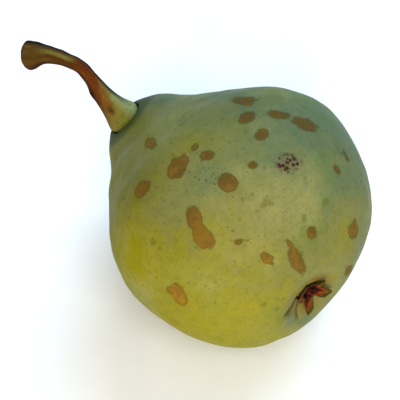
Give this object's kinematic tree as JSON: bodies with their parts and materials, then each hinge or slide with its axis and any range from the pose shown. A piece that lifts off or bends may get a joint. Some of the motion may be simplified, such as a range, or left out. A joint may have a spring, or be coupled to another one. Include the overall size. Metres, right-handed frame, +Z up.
{
  "type": "pear",
  "caption": "Whole fresh pear as picked, lying on its side, with its curved woody stem and dried calyx.",
  "frame": {"origin": "middle of the small flat spot that the pear rests on", "axes": "+Z up off the rest spot, -X towards the stem end, +X towards the calyx end"},
  "size_m": [0.0979, 0.0663, 0.0611],
  "materials": {
    "skin": "waxy yellow-green skin with fine dots and brown russet marks",
    "stem": "brown bark, green and fleshy at the foot",
    "calyx": "dry brown papery sepals"
  },
  "bodies": {
    "root": {"body": "skin", "stem": "stem", "calyx": "calyx"}
  },
  "joints": []
}
